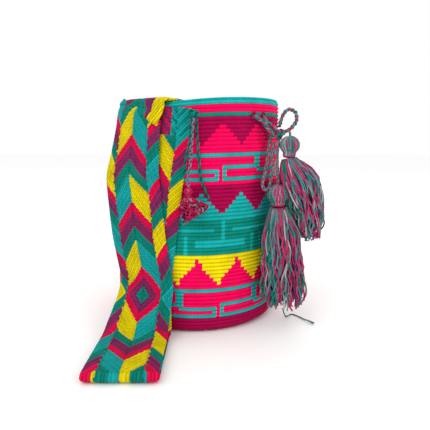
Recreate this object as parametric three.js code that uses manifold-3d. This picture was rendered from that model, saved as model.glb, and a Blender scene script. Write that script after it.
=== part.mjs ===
// A crocheted mochila bag standing on its flat base, with its braided strap, drawstring and tassels.
// Millimetres, +Z up. The origin is the centre of the base's underside, and -Y is the front.

import * as THREE from "three";
import { mergeVertices } from "three/addons/utils/BufferGeometryUtils.js";
import Module from "manifold-3d";

// ---- driving dimensions ----

// The bag: one crocheted shell, open at the top.
const BAG_HEIGHT = 270;
const RADIUS_BASE = 106.3;
const RADIUS_MIDDLE = 105.7;
const RADIUS_TOP = 99.6;
const LEAN = 0.021;
const BASE_EDGE = 13;
const RIM_TILT = 3;
const RIM_DIP = 5;
const RIM_DIP_ANGLE = -38;
const RIM_DIP_SPREAD = 40;
const WALL = 4.6;
const BAG_SEGMENTS = 64;

// The strap: one braided band, sewn at both ends to the outside of the rim.
const STRAP_WIDTH = 74;
const STRAP_THICKNESS = 4;
const STRAP_STATIONS = 88;
const STRAP_ACROSS = 6;
const STRAP_FOLD_BIAS = 0.6;
const STRAP_ON_WALL = 3;
const STRAP_OVER_STRAP = 9;
const STRAP_FLOOR_X = -64.5;
const STRAP_FLOOR = 2.6;
const STRAP_FLOOR_UPPER = 9.6;
const STRAP_FRONT_END = 266;
const STRAP_BACK_END = 232;
const STRAP_BACK_ANGLE = 156.4;
const STRAP_OVER_RIM = 274.6;

// The drawstring: one braided cord, threaded round inside the wall and out of two eyelets.
const CORD_DIAMETER = 5.2;
const EYELET_DIAMETER = 9.6;
const EYELET_HEIGHT = 249;
const EYELET_ANGLES = [39, 48];
const DRAWSTRING_INSET = 8.6;

// The bow knot and the tassels.
const LOOP_DIAMETER = 4.16;
const UPPER_TAIL_DIAMETER = 3;
const LOWER_TAIL_DIAMETER = 3.6;
const KNOT_CENTRE = [99, -68, 231];
const KNOT_SIZE = [8, 7, 7];
const TIE_HEIGHT = 4;
const STRING_DIAMETER = 3;
const THREAD_DIAMETER = 1.6;

// ---- yarn colours ----

const WINE = 0xa50346;
const TEAL = 0x1ba39f;
const GREEN = 0x0a7c66;
const RED = 0xe80a4b;
const ROSE = 0xb03868;
const GREY = 0x6c6a76;
const YARN_ROUGHNESS = 0.9;

// ---- small geometry helpers ----

const wasm = await Module();
wasm.setup();

function vector(x, y, z) {
  return new THREE.Vector3(x, y, z);
}

// The outer radius of the crocheted wall at height z: a parabola through three radii.
function wallRadius(z) {
  const t = z / BAG_HEIGHT;
  const low = RADIUS_BASE * (1 - t) * (1 - 2 * t);
  const middle = RADIUS_MIDDLE * 4 * t * (1 - t);
  const top = RADIUS_TOP * t * (2 * t - 1);
  return low + middle + top;
}

// How far the soft wall is pulled up or down: the rim is a little higher on the right, and it dips
// under the strap at the front left. Nothing moves at the base.
function rimRise(angle, z) {
  const tilt = RIM_TILT * Math.sin(THREE.MathUtils.degToRad(angle));
  const dip = RIM_DIP * Math.exp(-(((angle - RIM_DIP_ANGLE) / RIM_DIP_SPREAD) ** 2));
  return (tilt - dip) * Math.min(z / BAG_HEIGHT, 1) ** 4;
}

// A point on the wall, offset outwards; angle 0 is the front and 90 is the right side.
// The soft wall leans a little to the right as it rises.
function onWall(angle, z, offset) {
  const a = THREE.MathUtils.degToRad(angle);
  const r = wallRadius(Math.min(z, BAG_HEIGHT)) + offset;
  return vector(r * Math.sin(a) + LEAN * z, -r * Math.cos(a), z + rimRise(angle, z));
}

// A closed skin over rings of points, with a fan over each end.
function loft(rings) {
  const count = rings[0].length;
  const positions = rings.flat().flatMap((p) => [p.x, p.y, p.z]);
  const index = [];
  for (let i = 0; i + 1 < rings.length; i += 1) {
    for (let j = 0; j < count; j += 1) {
      const a = i * count + j;
      const b = i * count + ((j + 1) % count);
      index.push(a, b, b + count, a, b + count, a + count);
    }
  }
  for (const [ring, first] of [[rings[0], 0], [rings.at(-1), (rings.length - 1) * count]]) {
    const middle = ring.reduce((sum, p) => sum.add(p), vector(0, 0, 0)).divideScalar(count);
    const tip = positions.length / 3;
    positions.push(middle.x, middle.y, middle.z);
    for (let j = 0; j < count; j += 1) {
      const a = first + j;
      const b = first + ((j + 1) % count);
      index.push(...(first === 0 ? [b, a, tip] : [a, b, tip]));
    }
  }
  const geometry = new THREE.BufferGeometry();
  geometry.setAttribute("position", new THREE.Float32BufferAttribute(positions, 3));
  geometry.setIndex(index);
  return geometry;
}

function smoothPath(points) {
  return new THREE.CatmullRomCurve3(points.map((p) => vector(...p)), false, "centripetal");
}

// A round tube of one diameter along a curve.
function tube(points, diameter, sides, pitch) {
  const path = smoothPath(points);
  const section = new THREE.Shape();
  for (let i = 0; i < sides; i += 1) {
    const a = (2 * Math.PI * i) / sides;
    const x = (diameter / 2) * Math.cos(a);
    const y = (diameter / 2) * Math.sin(a);
    if (i === 0) section.moveTo(x, y);
    else section.lineTo(x, y);
  }
  section.closePath();
  const steps = Math.max(4, Math.round(path.getLength() / (pitch * diameter)));
  return new THREE.ExtrudeGeometry(section, { steps, extrudePath: path, bevelEnabled: false });
}

// A bundle of yarn that follows a curve and swells or narrows along it.
function bundle(points, radii, sides, steps) {
  const path = smoothPath(points);
  const frames = path.computeFrenetFrames(steps, false);
  const rings = [];
  for (let i = 0; i <= steps; i += 1) {
    const t = i / steps;
    const at = t * (radii.length - 1);
    const k = Math.min(Math.floor(at), radii.length - 2);
    const radius = THREE.MathUtils.lerp(radii[k], radii[k + 1], at - k);
    const centre = path.getPointAt(t);
    rings.push(Array.from({ length: sides }, (_, j) => {
      const a = (2 * Math.PI * j) / sides;
      const out = frames.normals[i].clone().multiplyScalar(radius * Math.cos(a));
      out.addScaledVector(frames.binormals[i], radius * Math.sin(a));
      return out.add(centre);
    }));
  }
  return loft(rings);
}

function toManifold(geometry) {
  const bare = geometry.clone();
  bare.deleteAttribute("normal");
  bare.deleteAttribute("uv");
  const merged = mergeVertices(bare, 1e-3);
  const vertProperties = merged.attributes.position.array;
  const triVerts = new Uint32Array(merged.index.array);
  return new wasm.Manifold(new wasm.Mesh({ numProp: 3, vertProperties, triVerts }));
}

function fromManifold(solid) {
  const mesh = solid.getMesh();
  const geometry = new THREE.BufferGeometry();
  geometry.setAttribute("position", new THREE.BufferAttribute(mesh.vertProperties, 3));
  geometry.setIndex(new THREE.BufferAttribute(mesh.triVerts, 1));
  return geometry;
}

// A named mesh with a yarn material of its own.
function piece(name, geometry, color) {
  const material = new THREE.MeshStandardMaterial({ color, roughness: YARN_ROUGHNESS, metalness: 0 });
  const mesh = new THREE.Mesh(geometry, material);
  mesh.name = name;
  return mesh;
}

// ---- the crocheted bag ----

// The shell's section: a flat base, a rounded edge, the wall, the rounded rim and the same inside.
function bagProfile() {
  const outer = [];
  const foot = wallRadius(BASE_EDGE) - BASE_EDGE;
  for (let i = 0; i <= 6; i += 1) {
    const a = (i / 6) * (Math.PI / 2);
    outer.push([foot + BASE_EDGE * Math.sin(a), BASE_EDGE * (1 - Math.cos(a))]);
  }
  const rimStart = BAG_HEIGHT - WALL / 2;
  for (let i = 1; i <= 8; i += 1) {
    const z = THREE.MathUtils.lerp(BASE_EDGE, rimStart, i / 8);
    outer.push([wallRadius(z), z]);
  }
  const inner = outer.map(([r, z], i) => {
    const a = Math.min(i / 6, 1) * (Math.PI / 2);
    return [r - WALL * Math.sin(a), z + WALL * Math.cos(a)];
  });
  const rim = [30, 90, 150].map((degrees) => {
    const a = THREE.MathUtils.degToRad(degrees);
    const r = wallRadius(rimStart) - WALL / 2;
    return [r + (WALL / 2) * Math.cos(a), rimStart + (WALL / 2) * Math.sin(a)];
  });
  return [[0, 0], ...outer, ...rim, ...inner.reverse(), [0, WALL]].map(
    ([r, z]) => new THREE.Vector2(r, z),
  );
}

// A round drill through the wall, to cut one eyelet.
function eyelet(angle) {
  const drill = new THREE.CylinderGeometry(EYELET_DIAMETER / 2, EYELET_DIAMETER / 2, 6 * WALL, 12);
  drill.rotateZ(Math.PI / 2);
  drill.rotateZ(THREE.MathUtils.degToRad(angle - 90));
  const middle = onWall(angle, EYELET_HEIGHT, -WALL / 2);
  drill.translate(middle.x, middle.y, middle.z);
  return toManifold(drill);
}

function bagBody() {
  const turned = new THREE.LatheGeometry(bagProfile(), BAG_SEGMENTS).rotateX(Math.PI / 2);
  const place = turned.attributes.position;
  for (let i = 0; i < place.count; i += 1) {
    const [x, y, z] = [place.getX(i), place.getY(i), place.getZ(i)];
    const angle = THREE.MathUtils.radToDeg(Math.atan2(x, -y));
    place.setXYZ(i, x + LEAN * z, y, z + rimRise(angle, z));
  }
  let shell = toManifold(turned);
  for (const angle of EYELET_ANGLES) shell = shell.subtract(eyelet(angle));
  return piece("bag_body", fromManifold(shell), WINE);
}

// ---- the strap ----

// The centre line's stations: place, the heading of the band's width, and how much it curls across.
// It runs from the front seam down the wall, along the floor, back on itself under its own fold,
// up the wall again, over the rim, across the mouth and over the rim to the back seam.
function strapStations() {
  const onFloor = (y, z) => vector(STRAP_FLOOR_X, y, z);
  const down = [
    [-23.4, STRAP_FRONT_END],
    [-24.8, 220],
    [-27.6, 172],
    [-29, 138],
    [-31, 108],
    [-33, 72],
  ].map(([angle, z]) => [onWall(angle, z, STRAP_ON_WALL), angle, 1]);
  const landing = [
    [vector(-60, -96, 40), -31, 0.8],
    [vector(-61, -101, 18), -25, 0.5],
    [vector(-62.5, -110, 6), -16, 0.2],
    [vector(STRAP_FLOOR_X, -120, 3.2), -7, 0],
  ];
  const lower = [-130, -152, -180, -198].map((y) => [onFloor(y, STRAP_FLOOR), 0, 0]);
  const fold = [
    [onFloor(-206.4, 3.2), 0, 0],
    [onFloor(-209, 6), 0, 0],
    [onFloor(-206.4, 8.8), 0, 0],
  ];
  const upper = [-198, -180, -152, -136].map((y) => [onFloor(y, STRAP_FLOOR_UPPER), 0, 0]);
  const rising = [
    [vector(STRAP_FLOOR_X, -125, 13), -8, 0.1],
    [vector(-62.5, -116, 24), -16, 0.2],
    [vector(-59, -106, 42), -24, 0.3],
  ];
  const up = [
    [vector(-57, -99, 62), -27, 0.4],
    [vector(-61, -96, 87), -26, 0.4],
    [vector(-65, -94.4, 110), -25, 0.4],
    [vector(-67, -93.6, 130), -24, 0.4],
    [vector(-69, -92.4, 156), -24, 0.4],
    [vector(-71.6, -89.4, 183), -26, 0.4],
    [vector(-69.5, -87, 208), -33, 0.6],
    [vector(-66.5, -85, 236), -38, 0.8],
    [vector(-64, -84.8, 254), -39, 0.9],
  ];
  const front = [
    [onWall(-38.2, 265, 8.2), -38, 0.7],
    [onWall(-37.8, 273.6, 4.4), -36, 0.3],
    [onWall(-37.8, STRAP_OVER_RIM, -5), -34, 0],
  ];
  const across = [
    [vector(-32, -39, 267), -31, 0],
    [vector(-5, 6.5, 266.4), -30, 0],
    [vector(20, 48, 270), -27, 0],
  ];
  const back = [
    [onWall(STRAP_BACK_ANGLE, STRAP_OVER_RIM, -8), -24, 0],
    [onWall(STRAP_BACK_ANGLE, 273.4, 0), -23.6, -0.4],
    [onWall(STRAP_BACK_ANGLE, 268, 3.4), -23.6, -0.8],
    [onWall(STRAP_BACK_ANGLE, 256, STRAP_ON_WALL), -23.6, -1],
    [onWall(STRAP_BACK_ANGLE, STRAP_BACK_END, STRAP_ON_WALL), -23.6, -1],
  ];
  return [down, landing, lower, fold, upper, rising, up, front, across, back].flat();
}

function strap() {
  const stations = strapStations();
  const path = new THREE.CatmullRomCurve3(stations.map(([p]) => p), false, "centripetal");
  const rings = [];
  for (let i = 0; i <= STRAP_STATIONS; i += 1) {
    const u = shareAlong(path, i / STRAP_STATIONS);
    const k = Math.min(Math.floor(u * (stations.length - 1)), stations.length - 2);
    const blend = u * (stations.length - 1) - k;
    const heading = THREE.MathUtils.lerp(stations[k][1], stations[k + 1][1], blend);
    const curl = THREE.MathUtils.lerp(stations[k][2], stations[k + 1][2], blend);
    rings.push(strapRing(path.getPoint(u), path.getTangent(u), heading, curl));
  }
  return piece("strap", loft(rings), TEAL);
}

// A share of the band's length, blended with the same share of its stations: the stations lie
// closer together at the tight folds, so the folds get more rings than an even spacing gives.
function shareAlong(path, share) {
  return THREE.MathUtils.lerp(path.getUtoTmapping(share), share, STRAP_FOLD_BIAS);
}

// One ring of the band: square to the path, curled across to follow the round wall.
function strapRing(centre, tangent, heading, curl) {
  const a = THREE.MathUtils.degToRad(heading);
  const side = vector(Math.cos(a), Math.sin(a), 0);
  side.addScaledVector(tangent, -side.dot(tangent)).normalize();
  const normal = new THREE.Vector3().crossVectors(side, tangent).normalize();
  const bend = curl / (RADIUS_MIDDLE + STRAP_ON_WALL);
  const isFlat = Math.abs(bend) < 1e-6;
  const row = (lift) =>
    Array.from({ length: STRAP_ACROSS + 1 }, (_, j) => {
      const s = (j / STRAP_ACROSS - 0.5) * STRAP_WIDTH;
      const sag = isFlat ? 0 : Math.abs((1 - Math.cos(s * bend)) / bend);
      const reach = isFlat ? s : Math.sin(s * bend) / bend;
      const p = centre.clone().addScaledVector(side, reach);
      p.addScaledVector(outward(centre, tangent), -sag);
      return p.addScaledVector(normal, lift);
    });
  return [...row(STRAP_THICKNESS / 2), ...row(-STRAP_THICKNESS / 2).reverse()];
}

// The horizontal direction away from the bag's axis, square to the band.
function outward(centre, tangent) {
  const out = vector(centre.x, centre.y, 0).normalize();
  return out.addScaledVector(tangent, -out.dot(tangent)).normalize();
}

// ---- the drawstring and its bow ----

function drawstring() {
  const [first, last] = EYELET_ANGLES;
  const z = EYELET_HEIGHT;
  const points = [
    [95, -77, 236],
    onWall(last - 3, 245, 8).toArray(),
    onWall(last, z, 2).toArray(),
    onWall(last, z, -WALL / 2).toArray(),
    onWall(last + 1, z, -WALL - 3.4).toArray(),
  ];
  for (let angle = last + 8; angle <= 360 + first - 8; angle += 9.4) {
    points.push(onWall(angle, z, -DRAWSTRING_INSET).toArray());
  }
  points.push(
    onWall(first - 1, z, -WALL - 3.4).toArray(),
    onWall(first, z, -WALL / 2).toArray(),
    onWall(first, z, 2).toArray(),
    onWall(first + 4, z - 5, 6.6).toArray(),
    [88, -80, 233],
    [92.4, -77, 227.6],
  );
  return piece("drawstring", tube(points, CORD_DIAMETER, 8, 1.9), ROSE);
}

function bow() {
  const loopUp = [
    [99.5, -68, 239.2],
    [101, -69, 246],
    [104, -70, 254],
    [110, -71, 258.8],
    [117.5, -71.5, 254.5],
    [118.5, -71, 246],
    [113.5, -70, 238],
    [107.4, -69, 234],
  ];
  const loopDown = [
    [89.6, -70.6, 229],
    [87, -76, 217],
    [85, -82, 202],
    [82, -86, 187],
    [79, -89, 175],
    [81.5, -90.6, 168],
    [86.4, -89.6, 171],
    [88.6, -87.4, 183],
    [89.6, -84, 199],
    [91.4, -78.6, 213],
    [93.2, -73.8, 222],
  ];
  const upperTail = [
    [105.4, -73.8, 232.4],
    [108.4, -76.4, 234.4],
    [110, -79, 233],
    [110.4, -80, 228.6],
  ];
  const lowerTail = [
    [98.4, -75, 223.9],
    [96.6, -80.6, 213],
    [95.8, -86, 199],
    [96.4, -88, 186],
    [97.2, -87, 173.2],
  ];
  return [
    ball("bow_knot", KNOT_CENTRE, KNOT_SIZE, ROSE),
    piece("bow_loop_upper", tube(loopUp, CORD_DIAMETER, 8, 1.2), ROSE),
    piece("bow_loop_lower", tube(loopDown, LOOP_DIAMETER, 8, 1.6), ROSE),
    piece("upper_tassel_cord", tube(upperTail, UPPER_TAIL_DIAMETER, 8, 0.8), ROSE),
    piece("lower_tassel_cord", tube(lowerTail, LOWER_TAIL_DIAMETER, 8, 1.6), ROSE),
  ];
}

// ---- the tassels ----

function ball(name, centre, size, color) {
  return piece(name, new THREE.SphereGeometry(1, 14, 10).scale(...size).translate(...centre), color);
}

function tie(name, centre, radius, color) {
  const ring = new THREE.CylinderGeometry(radius, radius, TIE_HEIGHT, 14).rotateX(Math.PI / 2);
  return piece(name, ring.translate(...centre), color);
}

function tassels() {
  const upperSkirt = bundle(
    [
      [110, -80, 203.2],
      [110.3, -80.2, 200],
      [116, -81, 191],
      [124, -80, 178],
      [131, -77, 158],
      [134.6, -74, 134],
      [136, -72, 108],
    ],
    [8, 9, 11, 13, 14, 13.4, 13],
    14,
    16,
  );
  const lowerSkirt = bundle(
    [
      [98.5, -87, 147.4],
      [101, -86.5, 120],
      [104, -86, 90],
      [106.5, -85.5, 55],
      [107, -85, 24],
    ],
    [10, 14.5, 17.5, 20, 21],
    14,
    12,
  );
  const smallSkirt = bundle(
    [
      [-4, -116.6, 159.7],
      [-3.95, -116.7, 157.8],
      [-0.6, -118.6, 151],
      [6, -120.4, 140],
    ],
    [4.6, 6, 10, 13],
    12,
    7,
  );
  return [
    ball("upper_tassel_head", [110.2, -80, 218.4], [9.8, 9.8, 9.2], ROSE),
    tie("upper_tassel_tie", [110, -80, 206.4], 8.4, RED),
    piece("upper_tassel_skirt", upperSkirt, ROSE),
    ball("lower_tassel_head", [97.5, -87, 163], [11, 11, 9.6], ROSE),
    tie("lower_tassel_tie", [98.2, -87, 150.6], 9.6, RED),
    piece("lower_tassel_skirt", lowerSkirt, ROSE),
    ball("small_tassel_head", [-4, -116.2, 169.2], [5.6, 5.6, 4.5], RED),
    tie("small_tassel_tie", [-4, -116.6, 162.4], 4.6, RED),
    piece("small_tassel_skirt", smallSkirt, RED),
  ];
}

// ---- the strings at the front seam, and the thread on the floor ----

function strings() {
  const long = [
    [5.4, -110.8, 245.8],
    [5.4, -108.4, 236],
    [6.2, -106.8, 219],
    [8.2, -106.8, 195],
    [10.4, -107, 179],
    [18, -106, 160],
  ];
  const short = [
    [1.4, -112.6, 245.6],
    [0, -112, 236],
    [-2.6, -111.6, 220],
    [-6.6, -111.8, 204],
    [-8.4, -111.8, 187],
  ];
  const braid = [
    [2.4, -116, 246.6],
    [1.6, -117.8, 236],
    [0.4, -118.2, 220],
    [-1.4, -117.6, 200],
    [-3.4, -116.6, 184],
    [-4, -116.2, 174],
  ];
  const thread = [
    [107, -85, 22.6],
    [109.5, -81, 15],
    [114, -70, 5.5],
    [119, -58.5, 1.8],
    [125, -53, 1.1],
    [132, -60, 1.1],
    [139, -71.2, 1.3],
  ];
  const tip = bundle([[139.5, -72.2, 2], [143, -77.6, 2.1], [146, -82, 2]], [1.5, 2, 1.3], 8, 4);
  return [
    ball("seam_knot", [2.4, -111, 252], [6, 5.2, 5.4], GREEN),
    piece("seam_string_long", tube(long, STRING_DIAMETER, 8, 2), GREEN),
    piece("seam_string_short", tube(short, STRING_DIAMETER, 8, 2), GREEN),
    piece("seam_braid", tube(braid, STRING_DIAMETER, 8, 2), GREY),
    piece("tassel_thread", tube(thread, THREAD_DIAMETER, 8, 2), GREEN),
    piece("tassel_thread_tip", tip, GREEN),
  ];
}

// ---- the whole bag ----

const mochila = new THREE.Group();
mochila.add(bagBody(), strap(), drawstring(), ...bow(), ...tassels(), ...strings());

export default mochila;
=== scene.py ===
"""A crocheted mochila bag with a braided strap, a drawstring and yarn tassels.

Lengths are in metres, +Z up. The front of the bag faces -Y, and the origin is the middle of its base.
"""

import math
import random

import bpy
import numpy as np
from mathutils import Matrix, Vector


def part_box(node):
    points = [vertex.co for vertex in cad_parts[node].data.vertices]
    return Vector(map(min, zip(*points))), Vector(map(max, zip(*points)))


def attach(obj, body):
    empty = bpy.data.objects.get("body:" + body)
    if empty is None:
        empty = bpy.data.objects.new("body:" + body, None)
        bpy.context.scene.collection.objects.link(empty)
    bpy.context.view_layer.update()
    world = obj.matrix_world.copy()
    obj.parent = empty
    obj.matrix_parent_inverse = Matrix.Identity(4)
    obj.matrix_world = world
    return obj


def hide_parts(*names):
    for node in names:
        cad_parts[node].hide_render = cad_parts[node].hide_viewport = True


bl_info = {
    "name": "Mochila bag",
    "version": (1, 0, 0),
    "blender": (4, 5, 0),
    "location": "View3D > Sidebar > Mochila",
    "description": "Crochets the bag, braids its strap and cords, and ties its tassels",
    "category": "Object",
}

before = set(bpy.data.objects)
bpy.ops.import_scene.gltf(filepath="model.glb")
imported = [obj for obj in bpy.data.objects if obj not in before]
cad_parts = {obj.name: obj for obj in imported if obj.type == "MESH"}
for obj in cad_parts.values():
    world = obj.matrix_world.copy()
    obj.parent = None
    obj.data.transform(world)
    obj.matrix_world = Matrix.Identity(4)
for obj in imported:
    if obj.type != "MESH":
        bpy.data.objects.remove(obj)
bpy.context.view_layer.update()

# ---- driving dimensions ----

# The crocheted wall: a parabola through three radii, leaning to the right. Its rim tilts, and
# dips where the strap crosses it.
BAG_HEIGHT = 0.270
RADIUS_BASE = 0.1063
RADIUS_MIDDLE = 0.1057
RADIUS_TOP = 0.0996
LEAN = 0.021
BASE_EDGE = 0.013
WALL = 0.0046
RIM_TILT = 0.003
RIM_DIP = 0.005
RIM_DIP_ANGLE = -38
RIM_DIP_SPREAD = 40

# The braided strap.
STRAP_WIDTH = 0.074
STRAP_THICKNESS = 0.004
STRAP_ON_WALL = 0.003
STRAP_FLOOR_X = -0.0645
STRAP_FLOOR = 0.0026
STRAP_FLOOR_UPPER = 0.0096
STRAP_OVER_RIM = 0.2746
STRAP_BACK_ANGLE = 156.4

# The cords.
CORD_DIAMETER = 0.0052
LOOP_DIAMETER = 0.00416
UPPER_TAIL_DIAMETER = 0.003
LOWER_TAIL_DIAMETER = 0.0036
STRING_DIAMETER = 0.003
THREAD_DIAMETER = 0.0016
SEAM_KNOT_DIAMETER = 0.0034
EYELET_HEIGHT = 0.249
EYELET_ANGLES = (39, 48)
EYELET_TURN = 0.0034
EYELET_LIP = 0.002
EYELET_CLEAR = 8
DRAWSTRING_INSET = 0.0086
DRAWSTRING_STEP = 9.4

# The camera, which stands in front of the bag and looks a little down.
CAMERA_PLACE = (0.0248, -0.560, 0.224)
CAMERA_PITCH = 10.25
CAMERA_LENS = 34.66

# ---- the crochet chart ----

# Levels where a row's background changes, from the rim down to the base.
RIM_BANDS = [(0.2623, "teal"), (0.2557, "hot"), (0.2493, "green")]
KEYS = {"upper": (0.2105, 0.1785), "middle": (0.1335, 0.0954), "lower": (0.0525, 0.0170)}
# Each zigzag: the level of its peaks, of its tips, and how many stitches it is turned round by.
ZIGZAGS = [(0.2425, 0.2165, 0), (0.1665, 0.1395, 5.5), (0.0885, 0.0575, 4.6)]
UPPER_KEY_FLOOR = 0.172
REPEAT = 11
REPEATS = 14
STITCHES = REPEAT * REPEATS
CHART_START_ANGLE = -9.4

# The meander of the upper and lower keys, on 22 stitches by 7 rows: each line is a run of
# columns on one row, or of rows on one column.
MEANDER_ROWS = [(0, 0, 21), (4, 0, 9), (6, 0, 9), (6, 11, 21), (3, 11, 21)]
MEANDER_COLUMNS = [(0, 0, 4), (9, 4, 6), (11, 3, 6), (21, 0, 3)]
# The middle key's lines, on 22 stitches by 8 rows.
MIDDLE_ROWS = [(2, 0, 8), (2, 14, 21), (5, 4, 17)]
MIDDLE_COLUMNS = [(1, 4, 7), (11, 0, 4), (20, 4, 7)]

# ---- the braid's chart ----

# Distances along the strap from its front seam, and across it from its centre line.
BRAID_DIAMOND = 0.4887
BRAID_REPEAT = 0.076
BRAID_STRANDS = 19
BRAID_SLOPE = 1.16
BRAID_VALLEY = 0.0218
BRAID_FIRST = 0.0665
BRAID_MARGIN_LAG = 0.044
BRAID_SWAP = 0.300
# The strands where the leaf, the red and the mauve end, and where the mauve ends in the diamond.
BRAID_LEAF_END = 8
BRAID_RED_END = 11
BRAID_MAUVE_END = 15
BRAID_CORE = 14
BRAID_REAR_START = 0.1638
BRAID_SEAM = 0.030
BRAID_SEAM_SPLIT = 0.0170
BRAID_NOSE = 0.366
BRAID_NOSE_START = 0.340
BRAID_LOOSE = 1.07
# The toothed line between the middle and the margins, and the furrows beside it.
BRAID_TOOTH = 0.0017
BRAID_TOOTH_PITCH = 0.0042
BRAID_FURROW = 0.0011
BRAID_FURROW_DEPTH = 0.4
# The plies in one strand: how long each is, and how far it stands out.
BRAID_PLY = 0.0034
BRAID_PLY_DEPTH = 0.12
# Painted shade on the braid: how dark it is painted between strands, on every other strand, between plies
# and in the furrows.
BRAID_PAINTED_SHADES = (1.3, 0.2, 0.2, 0.3)


def shades():
    return bpy.context.scene.mochila_shades


def makeup():
    return bpy.context.scene.mochila_makeup


# ---- curves and frames ----

def smooth_path(points, per_span=24):
    """A smooth curve through the points, and the span that each place on it is in."""
    points = np.asarray(points, float)
    ends = np.vstack([2 * points[0] - points[1], points, 2 * points[-1] - points[-2]])
    places = []
    spans = []
    for i in range(len(points) - 1):
        p0, p1, p2, p3 = ends[i:i + 4]
        d0, d1, d2 = [max(np.linalg.norm(b - a), 1e-9) ** 0.5 for a, b in ((p0, p1), (p1, p2), (p2, p3))]
        leave = ((p1 - p0) / d0 - (p2 - p0) / (d0 + d1) + (p2 - p1) / d1) * d1
        reach = ((p2 - p1) / d1 - (p3 - p1) / (d1 + d2) + (p3 - p2) / d2) * d1
        for t in np.linspace(0, 1, per_span, endpoint=False):
            place = (2 * t**3 - 3 * t**2 + 1) * p1 + (t**3 - 2 * t**2 + t) * leave
            places.append(place + (3 * t**2 - 2 * t**3) * p2 + (t**3 - t**2) * reach)
            spans.append(i + t)
    places.append(points[-1])
    spans.append(len(points) - 1)
    return np.array(places), np.array(spans)


def lengths_along(places):
    steps = np.linalg.norm(np.diff(places, axis=0), axis=1)
    return np.concatenate([[0], np.cumsum(steps)])


def even_path(points, count, per_span=24):
    """The smooth curve through the points, cut into equal steps."""
    places, _ = smooth_path(points, per_span)
    along = lengths_along(places)
    wanted = np.linspace(0, along[-1], count)
    return np.stack([np.interp(wanted, along, places[:, k]) for k in range(3)], axis=1)


def unit(vectors):
    return vectors / np.maximum(np.linalg.norm(vectors, axis=-1, keepdims=True), 1e-12)


def carried_frames(places, start=(0, 0, 1)):
    """Two directions square to the path at each place, carried along it without twisting."""
    tangents = unit(np.gradient(places, axis=0))
    side = np.cross(tangents[0], start)
    if np.linalg.norm(side) < 1e-3:
        side = np.cross(tangents[0], (1, 0, 0))
    sides = []
    for tangent in tangents:
        side = side - np.dot(side, tangent) * tangent
        side = side / max(np.linalg.norm(side), 1e-12)
        sides.append(side)
    sides = np.array(sides)
    return sides, np.cross(tangents, sides)


# ---- mesh making ----

# Plies in a strand.
PLIES = 2


class Skein:
    """Gathers vertices and faces, each face with the yarn that it is made of, into one mesh."""

    def __init__(self):
        self.places = []
        self.faces = []
        self.yarns = []
        self.painted_shades = []
        self.count = 0

    def add(self, places, faces, yarn, painted_shade=None):
        """Adds a patch. Yarn is one name, or one for each face; the last argument is how much painted shade
        darkens each place, by how deep it lies.
        """
        names = [yarn] * len(faces) if isinstance(yarn, str) else list(yarn)
        first = self.count
        self.places.append(np.asarray(places, float))
        self.painted_shades.append(np.zeros(len(places)) if painted_shade is None else np.ravel(painted_shade))
        self.faces.extend([tuple(first + int(i) for i in face) for face in faces])
        self.yarns.extend(names)
        self.count += len(places)

    def add_rings(self, rings, yarn, painted_shade=None):
        """Adds a closed skin over rings of points, with a cap on each end."""
        steps, sides, _ = rings.shape
        i, j = np.meshgrid(np.arange(steps - 1), np.arange(sides), indexing="ij")
        right = (j + 1) % sides
        ring, after = i * sides, (i + 1) * sides
        quads = np.stack([ring + j, ring + right, after + right, after + j], -1)
        faces = [tuple(q) for q in quads.reshape(-1, 4)]
        last = (steps - 1) * sides
        faces.append(tuple(range(sides - 1, -1, -1)))
        faces.append(tuple(range(last, last + sides)))
        self.add(rings.reshape(-1, 3), faces, yarn, painted_shade)

    def add_strand(self, path, radius, yarn, sides=6, twist=0.005, depth=0.22):
        """Adds one plied strand: a tube whose section has a lobe for each ply, turning along it."""
        along = lengths_along(path)
        sides_a, sides_b = carried_frames(path)
        around = np.arange(sides) * 2 * np.pi / sides
        turn = 2 * np.pi * along / twist
        swell = 1 + depth * np.cos(PLIES * around[None, :] + turn[:, None])
        rings = path[:, None, :] + (radius * swell)[..., None] * (
            np.cos(around)[None, :, None] * sides_a[:, None, :]
            + np.sin(around)[None, :, None] * sides_b[:, None, :]
        )
        # Painted shade between the plies: each place is darker the deeper it dips between the lobes.
        self.add_rings(rings, yarn, 0.5 - 0.5 * (swell - 1) / depth)

    def build(self, name):
        """Makes the mesh object, with a material slot for each yarn used."""
        mesh = bpy.data.meshes.new(name)
        mesh.from_pydata(np.concatenate(self.places).tolist(), [], self.faces)
        names = sorted(set(self.yarns))
        for yarn in names:
            mesh.materials.append(yarn_material(yarn))
        index = {yarn: k for k, yarn in enumerate(names)}
        mesh.polygons.foreach_set("material_index", [index[yarn] for yarn in self.yarns])
        mesh.polygons.foreach_set("use_smooth", [True] * len(self.faces))
        # A point attribute of painted shade: the yarn materials darken each place by it, where shade would
        # fall in hollows.
        painted_shade = mesh.attributes.new("painted_shade", "FLOAT", "POINT")
        painted_shade.data.foreach_set("value", np.concatenate(self.painted_shades).astype(np.float32))
        mesh.update()
        made = bpy.data.objects.new(name, mesh)
        bpy.context.scene.collection.objects.link(made)
        return made


def finish_piece(piece, slot, *nodes):
    """Lets a piece ride on the bag and stand for its plain solids."""
    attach(piece, "root")
    if nodes:
        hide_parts(*nodes)


# ---- materials ----

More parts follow.
